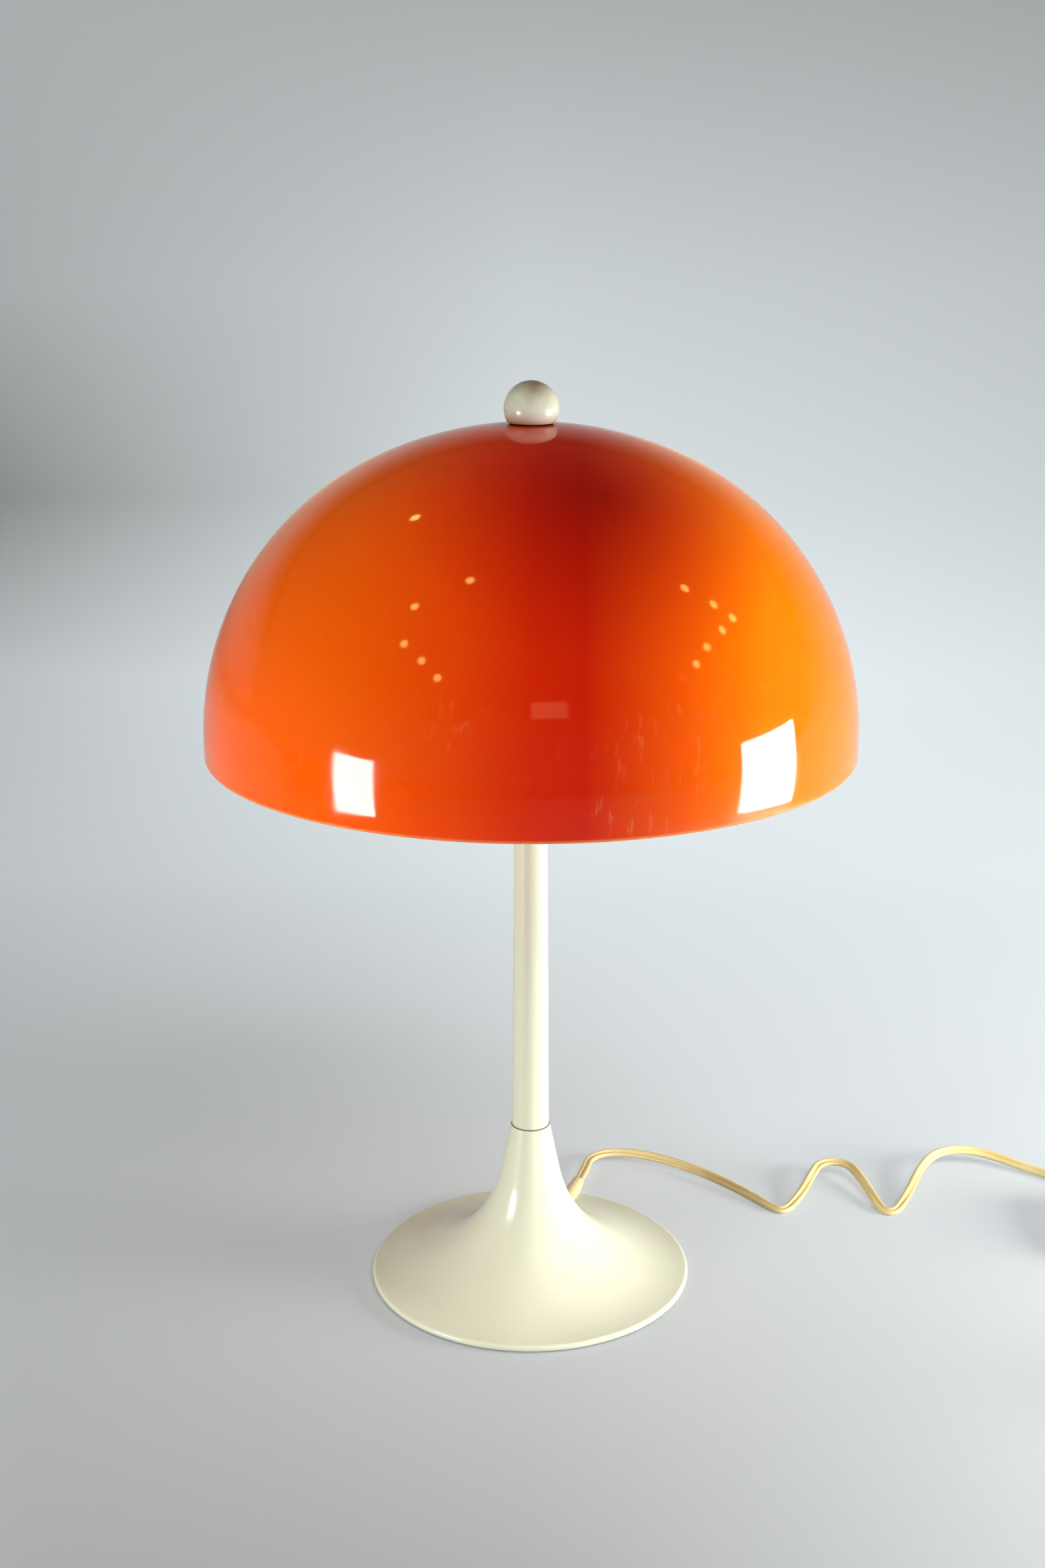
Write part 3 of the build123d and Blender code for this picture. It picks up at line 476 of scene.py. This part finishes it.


# glossy orange acrylic that lets some light through, worn and finely scratched above the rim, with
# painted light and shade in its colour and a painted highlight on its cut rim
def acrylicFinish():
    own = shadeFinish
    material, tree, shader = newFinish("orange_acrylic")
    for socket, value in (("IOR", own["ior"]), ("Specular IOR Level", own["specular"]),
                          ("Subsurface Weight", own["depth"]),
                          ("Subsurface Radius", own["depthReach"]),
                          ("Subsurface Scale", own["depthScale"]), ("Sheen Weight", own["sheen"]),
                          ("Sheen Roughness", own["sheenRoughness"]),
                          ("Sheen Tint", (*own["sheenTint"], 1.0))):
        shader.inputs[socket].default_value = value
    x, _, z = axesNode(tree)
    low = rangeNode(tree, z, own["scuffsFrom"], own["scuffsUpTo"], 1.0, 0.0)
    half = own["halfWidth"]
    # painted light on the two sides and painted shade down the middle, by a ramp across x
    orange = rampNode(tree, rangeNode(tree, x, -half, half, 0.0, 1.0), own["across"])
    cloud = tree.nodes.new("ShaderNodeVectorMath")
    cloud.operation = "SCALE"
    tree.links.new(orange, cloud.inputs[0])
    dim = rangeNode(tree, noiseNode(tree, *own["cloudGrain"]), 0.3, 0.7, own["cloud"], 1.0)
    tree.links.new(dim, cloud.inputs["Scale"])
    # painted shade that darkens the colour towards the top middle
    topShade = rangeNode(tree, awayNode(tree, own["topShadeAt"]), 0.0, own["topShadeReach"], 1.0, 0.0)
    topShade = mixNode(tree, topShade, (1.0, 1.0, 1.0), own["topShade"])
    colour = timesNode(tree, cloud.outputs["Vector"], topShade)
    scratches = noiseNode(tree, *own["scratchGrain"])
    scratches = rangeNode(tree, scratches, *own["scratchRange"], 0.0, 1.0)
    patches = rangeNode(tree, noiseNode(tree, *own["patchGrain"]), *own["patchRange"], 0.0, 1.0)
    worn = mathNode(tree, "MULTIPLY", mathNode(tree, "MULTIPLY", scratches, patches), low)
    # painted highlight along the cut rim
    rim = rangeNode(tree, z, *own["rim"], own["rimHighlight"], 0.0)
    pale = mathNode(tree, "MAXIMUM", mathNode(tree, "MULTIPLY", worn, own["scratch"]), rim)
    tree.links.new(mixNode(tree, pale, colour, own["worn"]), shader.inputs["Base Color"])
    film = rangeNode(tree, noiseNode(tree, *own["filmGrain"]), *own["filmRange"], 0.0, own["film"])
    rough = mathNode(tree, "ADD", mathNode(tree, "MULTIPLY", worn, own["scuffed"]),
                     mathNode(tree, "ADD", mathNode(tree, "MULTIPLY", film, low), own["gloss"]))
    tree.links.new(rough, shader.inputs["Roughness"])
    wave = bumpNode(tree, noiseNode(tree, *own["waveGrain"]), own["waveDepth"], shader)
    bumpNode(tree, worn, own["scratchDepth"], shader, wave)
    return material


ballFinishSet = {
    "stainAndShade": (0.24, 0.15, 0.05),    # browned near its top, partly a stain and partly painted shade
    "stainAndShadeAt": (0.002, -0.005, 0.4395),
    "stainAndShadeFull": 0.004,             # as dark as it gets up to here, and gone at its reach
    "stainAndShadeReach": 0.0200,
    "stainAndShadeStrength": 0.92,
    "edgeGrain": (160, 2),
    "edgeDepth": 0.005,
}


# the cream plastic again, with a brownish mark that fades down from the top, partly a stain and
# partly painted shade
def ballFinish():
    material = plainFinish("stained_and_shaded_cream_plastic")
    tree = material.node_tree
    shader = tree.nodes["Principled BSDF"]
    plain = shader.inputs["Base Color"].links[0].from_socket
    own = ballFinishSet
    # a brownish stain near the top, partly painted shade
    edge = mathNode(tree, "MULTIPLY", noiseNode(tree, *own["edgeGrain"]), own["edgeDepth"])
    away = mathNode(tree, "ADD", awayNode(tree, own["stainAndShadeAt"]), edge)
    near = rangeNode(tree, away, own["stainAndShadeFull"], own["stainAndShadeReach"], own["stainAndShadeStrength"], 0.0)
    tree.links.new(mixNode(tree, near, plain, own["stainAndShade"]), shader.inputs["Base Color"])
    return material


pearlSet = {
    "colour": (0.88, 0.87, 0.83),
    "dark": (0.80, 0.79, 0.74),
    "cloudGrain": (30, 3),
    "roughness": 0.22,
    "depth": 0.6,                   # how much of its light comes from within
    "depthReach": (1.0, 0.95, 0.85),
    "depthScale": 0.01,
    "coat": 0.4,
}


# the bulb's milky glass
def pearlFinish():
    material, tree, shader = newFinish("pearl_glass")
    for socket, key in (("Roughness", "roughness"), ("Subsurface Weight", "depth"),
                        ("Subsurface Radius", "depthReach"), ("Subsurface Scale", "depthScale"),
                        ("Coat Weight", "coat")):
        shader.inputs[socket].default_value = pearlSet[key]
    cloud = noiseNode(tree, *pearlSet["cloudGrain"])
    tree.links.new(rampNode(tree, cloud, [(0.3, pearlSet["dark"]), (0.7, pearlSet["colour"])]),
                   shader.inputs["Base Color"])
    return material


addCamera()
addPaper()
addLights()
addWorld()
finishes = {slot: plainFinish(slot) for slot in finishSet}
finishes["cream_lacquer"] = lacquerFinish()
finishes["orange_acrylic"] = acrylicFinish()
finishes["pearl_glass"] = pearlFinish()
finishes["stained_and_shaded_cream_plastic"] = ballFinish()
print("camera, paper, lights and", len(finishes), "finishes made")


# the flex is one flat twin lead from the gland to the plug
flexSet = {
    "width": 0.0050,
    "thickness": 0.0026,
    "web": 0.0014,                  # thickness in the groove between the two cores
    "rest": 0.0014,                 # height of its middle where it lies on the table
    "length": 1.80,
    # where it leans over on its way to the switch, showing its flat face: x, degrees
    "lean": ((0.028, 0), (0.045, 20), (0.066, 50), (0.088, 60), (0.107, 55), (0.121, 30),
             (0.129, 8), (0.138, 8), (0.1525, 35), (0.160, 20), (0.172, 20), (0.180, 40),
             (0.185, 8), (0.196, 8), (0.206, 45), (0.220, 55), (0.240, 40), (0.262, 55),
             (0.284, 30), (0.298, 0)),
    "coreSteps": 8,                 # faces round the outside of each core, and across the web
    "webSteps": 6,
}

glandSet = {
    "angle": radians(73),           # round from +X
    "reach": 0.089,                 # from the lamp's axis to where the flex leaves it
    "straight": 0.015,              # how far the flex goes on straight
    "height": 0.0041,
}


def glandPoint(reach):
    angle = glandSet["angle"]
    return Vector((reach * cos(angle), reach * sin(angle), glandSet["height"]))


glandTip = glandPoint(glandSet["reach"])
switchX = 0.302
# the flex's course along the table to the far end of the switch
flexAcross = [
    glandTip,
    glandPoint(glandSet["reach"] + glandSet["straight"]),
    (0.0330, 0.1140, 0.0040),
    (0.0450, 0.1210, 0.0044),
    (0.0660, 0.1155, 0.0050),
    (0.0880, 0.1015, 0.0046),
    (0.1070, 0.0845, 0.0036),
    (0.1210, 0.0700, 0.0022),
    (0.1302, 0.0582, 0.0014),
    (0.1362, 0.0588, 0.0014),
    (0.1455, 0.0740, 0.0032),
    (0.1525, 0.0890, 0.0056),
    (0.1590, 0.1025, 0.0074),
    (0.1745, 0.1020, 0.0074),
    (0.1800, 0.0840, 0.0052),
    (0.1835, 0.0690, 0.0030),
    (0.1868, 0.0562, 0.0014),
    (0.1938, 0.0567, 0.0014),
    (0.2040, 0.0765, 0.0038),
    (0.2140, 0.0990, 0.0064),
    (0.2250, 0.1130, 0.0080),
    (0.2400, 0.1175, 0.0080),
    (0.2560, 0.1135, 0.0058),
    (0.2710, 0.1050, 0.0034),
    (0.2840, 0.0960, 0.0024),
    (0.2945, 0.0885, 0.0034),
    (switchX, 0.0730, 0.0075),
    (switchX, 0.0570, 0.0075),
    (switchX, 0.0340, 0.0075),
    (switchX, 0.0110, 0.0075),
    (switchX, -0.0020, 0.0068),
    (switchX, -0.0170, 0.0023),
]

coilSet = {
    "startY": -0.036,
    "radius": 0.0374,
    "pitch": 0.0056,
    "halfTurns": 7,
    "low": 0.0024,                  # heights of the two layers
    "high": 0.0052,
    "steps": 12,                    # points in each half turn
}
plugX = switchX + coilSet["pitch"]
flexTail = [
    (plugX, -0.0410, coilSet["high"]),
    (plugX, -0.0570, coilSet["high"]),
    (plugX, -0.0700, 0.0076),
    (plugX, -0.0820, 0.0076),
]


# the spiral in, the half turn that climbs, and the spiral out on top
def coilPoints():
    count = coilSet["halfTurns"]
    orders = list(range(count)) + [count] + list(range(count - 1, 0, -1))
    steps = coilSet["steps"]
    spread = 1 / ((6 + 2 * cos(pi / steps)) / 8)    # makes up for the spline's cut at each point
    points = []
    x = switchX
    side = 1
    for index, order in enumerate(orders):
        radius = coilSet["radius"] - order * coilSet["pitch"] / 2
        centre = x + side * radius
        for step in range(steps):
            part = step / steps
            angle = pi * part
            climb = part if index == count else float(index > count)
            z = coilSet["low"] + (coilSet["high"] - coilSet["low"]) * climb
            reach = side * radius * spread
            points.append((centre - reach * cos(angle), coilSet["startY"] - reach * sin(angle), z))
        x += side * 2 * radius
        side = -side
    return points


# the route as one smooth spline, and the points that its own mesh has along it
def flexLine():
    points = flexAcross + coilPoints() + flexTail
    line = bpy.data.curves.new("flexLine", "CURVE")
    line.dimensions = "3D"
    line.resolution_u = 10          # steps from one point to the next
    spline = line.splines.new("NURBS")
    spline.points.add(len(points) - 1)
    for spot, place in zip(spline.points, points):
        spot.co = (*place, 1.0)
    spline.order_u = 3
    spline.use_endpoint_u = True
    carrier = addObject("flexLine", line)
    mesh = bpy.data.meshes.new_from_object(carrier)
    path = [v.co.copy() for v in mesh.vertices]
    bpy.data.meshes.remove(mesh)
    bpy.data.objects.remove(carrier)
    return path


# the lead's section: two round cores joined by a thinner web
def flexOutline():
    core = flexSet["thickness"] / 2
    offset = flexSet["width"] / 2 - core
    web = flexSet["web"] / 2
    points = []
    coreSteps = flexSet["coreSteps"]
    webSteps = flexSet["webSteps"]
    for end in (1, -1):
        for step in range(coreSteps + 1):
            angle = radians(-90 + 180 * step / coreSteps)
            points.append((end * (offset + core * cos(angle)), end * core * sin(angle)))
        for step in range(1, webSteps):
            part = 1 - 2 * step / webSteps
            dip = (1 + cos(pi * part)) / 2
            points.append((end * offset * part, end * (core + (web - core) * dip)))
    return points


# eased from mark to mark
def leanAt(x):
    marks = flexSet["lean"]
    if x <= marks[0][0] or x >= marks[-1][0]:
        return 0.0
    for (xLow, low), (xHigh, high) in zip(marks, marks[1:]):
        if x <= xHigh:
            part = (x - xLow) / (xHigh - xLow)
            return radians(low + (high - low) * (3 - 2 * part) * part * part)


# sweeps the section along the route, its flat side down but for the lean on the way to the switch
def flexPiece():
    path = flexLine()
    outline = flexOutline()
    count = len(outline)
    points = []
    onTable = True
    for index, spot in enumerate(path):
        before = path[max(index - 1, 0)]
        after = path[min(index + 1, len(path) - 1)]
        along = (after - before).normalized()
        across = along.cross(Vector((0, 0, 1))).normalized()
        up = across.cross(along)
        onTable = onTable and spot.x < flexSet["lean"][-1][0]
        lean = leanAt(spot.x) if onTable else 0.0
        rest = flexSet["rest"] + (flexSet["width"] - flexSet["thickness"]) / 2 * sin(lean)
        spot = Vector((spot.x, spot.y, max(spot.z, rest)))
        across, up = across * cos(lean) - up * sin(lean), up * cos(lean) + across * sin(lean)
        points += [spot + across * a + up * b for a, b in outline]
    faces = []
    for ring in range(len(path) - 1):
        for step in range(count):
            a = ring * count + step
            b = ring * count + (step + 1) % count
            faces.append((a, b, b + count, a + count))
    faces.append(tuple(reversed(range(count))))
    faces.append(tuple(range(len(points) - count, len(points))))
    mesh = bpy.data.meshes.new("twinFlex")
    mesh.from_pydata(points, [], faces)
    tidyMesh(mesh, creaseAngle)
    mesh.materials.append(finishes["flex_pvc"])
    piece = addObject("twinFlex", mesh)
    return piece, path


creaseAngle = 50                    # degrees above which an edge stays sharp
mergeDistance = 1e-6


def tidyMesh(mesh, sharpAbove=None):
    work = bmesh.new()
    work.from_mesh(mesh)
    bmesh.ops.remove_doubles(work, verts=work.verts, dist=mergeDistance)
    bmesh.ops.recalc_face_normals(work, faces=work.faces)
    work.to_mesh(mesh)
    work.free()
    mesh.shade_smooth()
    if sharpAbove:
        mesh.set_sharp_from_angle(angle=radians(sharpAbove))


flex, flexPath = flexPiece()
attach(flex, "lamp")
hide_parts("cord_lamp_side", "cord_plug_side", "cord_coil")
print("flex made, metres:", round(sum((b - a).length for a, b in zip(flexPath, flexPath[1:])), 3))


# turned pieces: one outline spun about the lamp's axis, drawn from a small core circle outwards
def turningTree():
    tree = bpy.data.node_groups.new("turnedOutline", "GeometryNodeTree")
    face = tree.interface
    face.new_socket("Outline", in_out="INPUT", socket_type="NodeSocketGeometry")
    sockets = {
        "steps": face.new_socket("Steps", in_out="INPUT", socket_type="NodeSocketInt"),
        "core": face.new_socket("Core Radius", in_out="INPUT", socket_type="NodeSocketFloat"),
        "finish": face.new_socket("Finish", in_out="INPUT", socket_type="NodeSocketMaterial"),
    }
    face.new_socket("Piece", in_out="OUTPUT", socket_type="NodeSocketGeometry")
    start = tree.nodes.new("NodeGroupInput")
    end = tree.nodes.new("NodeGroupOutput")
    circle = tree.nodes.new("GeometryNodeCurvePrimitiveCircle")
    sweep = tree.nodes.new("GeometryNodeCurveToMesh")
    merge = tree.nodes.new("GeometryNodeMergeByDistance")
    merge.inputs["Distance"].default_value = mergeDistance
    real = tree.nodes.new("GeometryNodeRealizeInstances")
    paint = tree.nodes.new("GeometryNodeSetMaterial")
    links = tree.links
    links.new(start.outputs["Steps"], circle.inputs["Resolution"])
    links.new(start.outputs["Core Radius"], circle.inputs["Radius"])
    links.new(circle.outputs["Curve"], sweep.inputs["Curve"])
    links.new(start.outputs["Outline"], sweep.inputs["Profile Curve"])
    links.new(sweep.outputs["Mesh"], merge.inputs["Geometry"])
    links.new(merge.outputs["Geometry"], real.inputs["Geometry"])
    links.new(real.outputs["Geometry"], paint.inputs["Geometry"])
    links.new(start.outputs["Finish"], paint.inputs["Material"])
    links.new(paint.outputs["Geometry"], end.inputs["Piece"])
    return tree, sockets


turning, turningSockets = turningTree()
coreRadius = 0.001


# runs a node tree that rides on a carrier, keeps the mesh that it makes and drops the carrier
def made(carrier, tree, values):
    name = carrier.name
    maker = carrier.modifiers.new(tree.name, "NODES")
    maker.node_group = tree
    for socket, value in values:
        maker[socket.identifier] = value
    shaped = carrier.evaluated_get(bpy.context.evaluated_depsgraph_get())
    mesh = bpy.data.meshes.new_from_object(shaped)
    bpy.data.objects.remove(carrier)
    mesh.name = name
    return mesh


# spins a closed outline of (radius, height) points about Z
def turned(name, outline, slot, steps):
    line = bpy.data.curves.new(name, "CURVE")
    line.dimensions = "2D"
    spline = line.splines.new("POLY")
    spline.points.add(len(outline) - 1)
    for spot, (radius, height) in zip(spline.points, outline):
        spot.co = (radius - coreRadius, -height, 0, 1)
    spline.use_cyclic_u = True
    mesh = made(addObject(name, line), turning, (
        (turningSockets["steps"], steps), (turningSockets["core"], coreRadius),
        (turningSockets["finish"], finishes[slot])))
    tidyMesh(mesh, creaseAngle)
    return addObject(name, mesh)


# points on an arc in the outline's plane, from one angle in degrees to the other
def arcPoints(centre, radius, start, end, steps):
    spots = []
    for step in range(steps + 1):
        angle = radians(start + (end - start) * step / steps)
        spots.append((centre[0] + radius * cos(angle), centre[1] + radius * sin(angle)))
    return spots


shadeSet = {
    "wall": 0.0030,
    "skirt": 0.0080,                # straight band above the rim
    "crownAngle": 25.0,             # half the arc over the crown, in degrees
    "crownFlat": 0.00029,           # how deep the flats on and under the crown are cut
    "seatFlat": 0.00063,
    "hole": 0.0035,
    "rimRound": 0.0011,
    "steps": 256,                   # round the shade
    "crownSteps": 26,
    "shoulderSteps": 48,
    "rimSteps": 6,
}


# the angle at which an arc about a centre on the axis comes to a height
def angleAt(height, centre, radius):
    rise = height - centre[1]
    return degrees(atan2(rise, sqrt(radius ** 2 - rise ** 2)))


# a wide arc over the crown runs into two tighter ones at the shoulders
def shadePiece():
    low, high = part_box("shade_dome")
    rim = low.z
    flat = high.z
    radius = (high.x - low.x) / 2
    crown = flat + shadeSet["crownFlat"]
    height = crown - rim - shadeSet["skirt"]
    across = sin(radians(shadeSet["crownAngle"]))
    up = cos(radians(shadeSet["crownAngle"]))
    scale = across * up - (1 - across) * (1 - up)
    big = (radius * up - height * (1 - across)) / scale
    outer = (height * across - radius * (1 - up)) / scale
    join = 90 - shadeSet["crownAngle"]
    wall = shadeSet["wall"]
    seat = crown - wall - shadeSet["seatFlat"]
    crownCentre = (0.0, crown - big)
    shoulderCentre = (radius - outer, rim + shadeSet["skirt"])
    topAngle = angleAt(flat, crownCentre, big)
    seatAngle = angleAt(seat, crownCentre, big - wall)
    turn = shadeSet["rimRound"]
    crownSteps = shadeSet["crownSteps"]
    shoulderSteps = shadeSet["shoulderSteps"]
    rimSteps = shadeSet["rimSteps"]
    outline = [(shadeSet["hole"], seat), (shadeSet["hole"], flat)]
    outline += arcPoints(crownCentre, big, topAngle, join, crownSteps)
    outline += arcPoints(shoulderCentre, outer, join, 0, shoulderSteps)[1:]
    outline += arcPoints((radius - turn, rim + turn), turn, 0, -90, rimSteps)
    outline += arcPoints((radius - wall + turn, rim + turn), turn, -90, -180, rimSteps)
    outline += arcPoints(shoulderCentre, outer - wall, 0, join, shoulderSteps)
    outline += arcPoints(crownCentre, big - wall, join, seatAngle, crownSteps)[1:]
    return turned("domeShade", outline, "orange_acrylic", shadeSet["steps"])


shade = shadePiece()
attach(shade, "shade")
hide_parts("shade_dome")
print("shade made")


ribSet = {
    # name: (node, body, slot, count, radius, bottom, height, thickness)
    "shellRibs": ("holder_shell", "lamp", "holder_plastic", 36, 0.0195, 0.0035, 0.0250, 0.0005),
}


ribFaces = 10                       # round each rib, and along it


# a node tree that stands thin ribs round a circle
def ribTree():
    tree = bpy.data.node_groups.new("ribRing", "GeometryNodeTree")
    face = tree.interface
    sockets = {}
    for key, name, kind in (("count", "Count", "Int"), ("radius", "Radius", "Float"),
                            ("bottom", "Bottom", "Float"), ("height", "Height", "Float"),
                            ("thick", "Thickness", "Float"), ("finish", "Finish", "Material")):
        sockets[key] = face.new_socket(name, in_out="INPUT", socket_type="NodeSocket" + kind)
    face.new_socket("Ribs", in_out="OUTPUT", socket_type="NodeSocketGeometry")
    start = tree.nodes.new("NodeGroupInput")
    end = tree.nodes.new("NodeGroupOutput")
    links = tree.links
    ring = tree.nodes.new("GeometryNodeCurvePrimitiveCircle")
    links.new(start.outputs["Count"], ring.inputs["Resolution"])
    links.new(start.outputs["Radius"], ring.inputs["Radius"])
    spots = tree.nodes.new("GeometryNodeCurveToPoints")
    spots.mode = "EVALUATED"
    links.new(ring.outputs["Curve"], spots.inputs["Curve"])
    rib = tree.nodes.new("GeometryNodeMeshUVSphere")
    rib.inputs["Segments"].default_value = ribFaces
    rib.inputs["Rings"].default_value = ribFaces
    rib.inputs["Radius"].default_value = 1.0
    half = mathNode(tree, "MULTIPLY", start.outputs["Height"], 0.5)
    size = tree.nodes.new("ShaderNodeCombineXYZ")
    links.new(start.outputs["Thickness"], size.inputs["X"])
    links.new(start.outputs["Thickness"], size.inputs["Y"])
    links.new(half, size.inputs["Z"])
    stand = tree.nodes.new("GeometryNodeInstanceOnPoints")
    links.new(spots.outputs["Points"], stand.inputs["Points"])
    links.new(rib.outputs["Mesh"], stand.inputs["Instance"])
    links.new(size.outputs["Vector"], stand.inputs["Scale"])
    lift = tree.nodes.new("ShaderNodeCombineXYZ")
    links.new(mathNode(tree, "ADD", start.outputs["Bottom"], half), lift.inputs["Z"])
    move = tree.nodes.new("GeometryNodeTranslateInstances")
    move.inputs["Local Space"].default_value = False
    links.new(stand.outputs["Instances"], move.inputs["Instances"])
    links.new(lift.outputs["Vector"], move.inputs["Translation"])
    real = tree.nodes.new("GeometryNodeRealizeInstances")
    links.new(move.outputs["Instances"], real.inputs["Geometry"])
    paint = tree.nodes.new("GeometryNodeSetMaterial")
    links.new(real.outputs["Geometry"], paint.inputs["Geometry"])
    links.new(start.outputs["Finish"], paint.inputs["Material"])
    links.new(paint.outputs["Geometry"], end.inputs["Ribs"])
    return tree, sockets


ribbing, ribSockets = ribTree()


def ribPiece(name):
    node, body, slot, count, radius, bottom, height, thick = ribSet[name]
    values = {"count": count, "radius": radius, "bottom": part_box(node)[0].z + bottom,
              "height": height, "thick": thick, "finish": finishes[slot]}
    mesh = made(addObject(name, bpy.data.meshes.new(name)), ribbing,
                [(ribSockets[key], value) for key, value in values.items()])
    tidyMesh(mesh)
    piece = addObject(name, mesh)
    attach(piece, body)


for name in ribSet:
    ribPiece(name)
print("ribs made:", len(ribSet))

# the frame's own pieces take their finishes, named by slot but for the ball's stained and shaded
# cream plastic and the gland's aged cream plastic
ownFinish = {"finial_ball": "stained_and_shaded_cream_plastic", "cord_gland": "aged_cream_plastic"}
for node, piece in nodes.items():
    material = finishes[ownFinish.get(node, slotOf[node])]
    if not piece.material_slots:
        piece.data.materials.append(material)
    for materialSlot in piece.material_slots:
        materialSlot.material = material

scene.view_settings.view_transform = "Standard"
